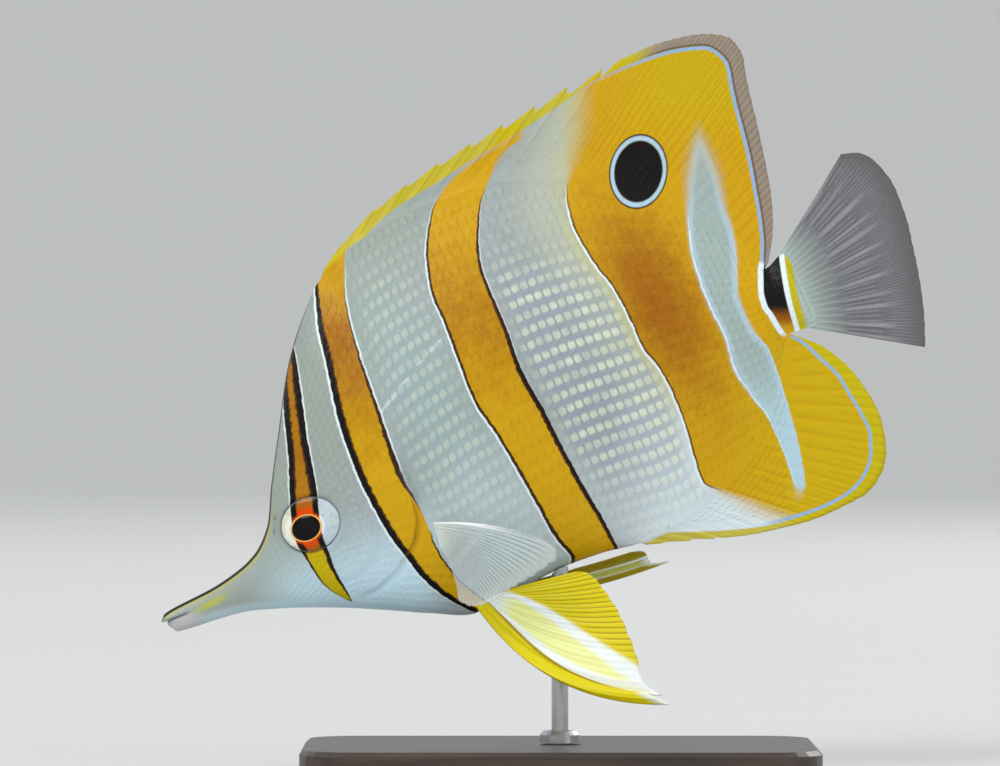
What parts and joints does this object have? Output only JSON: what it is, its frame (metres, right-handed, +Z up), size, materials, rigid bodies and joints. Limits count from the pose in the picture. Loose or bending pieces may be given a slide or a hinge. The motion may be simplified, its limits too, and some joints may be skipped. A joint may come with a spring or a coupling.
{
  "type": "butterflyfish museum model",
  "caption": "Life-size long-snouted butterflyfish swimming nose down, deep flat body with raised fins, held by one rod on a flat display base.",
  "frame": {"origin": "centre of the underside of the stand's base, under the rod's axis", "axes": "+Z up; +X towards the tail, so the fish faces -X with its nose tipped down; +Y towards the fish's right side"},
  "size_m": [0.1366, 0.058, 0.1328],
  "materials": {
    "skin": "moist silvery skin with orange bands",
    "fin": "satin fin membrane over raised rays",
    "clear_fin": "thin clear fin membrane over raised rays",
    "eye": "wet gloss",
    "stand_wood": "dark satin",
    "stand_steel": "brushed"
  },
  "bodies": {
    "root": {"jaw_upper": "skin", "jaw_lower": "skin", "snout": "skin", "head": "skin", "gill_cover_left": "skin", "gill_cover_right": "skin", "eye_left": "eye", "eye_right": "eye", "trunk": "skin", "tail_stalk": "skin", "dorsal_fin_spiny": "fin", "dorsal_fin_soft": "fin", "anal_fin": "fin", "tail_fin": "clear_fin", "pectoral_fin_left": "clear_fin", "pectoral_fin_right": "clear_fin", "pelvic_fin_left": "fin", "pelvic_fin_right": "fin", "stand_base": "stand_wood", "stand_rod": "stand_steel", "stand_collar": "stand_steel"}
  },
  "joints": []
}
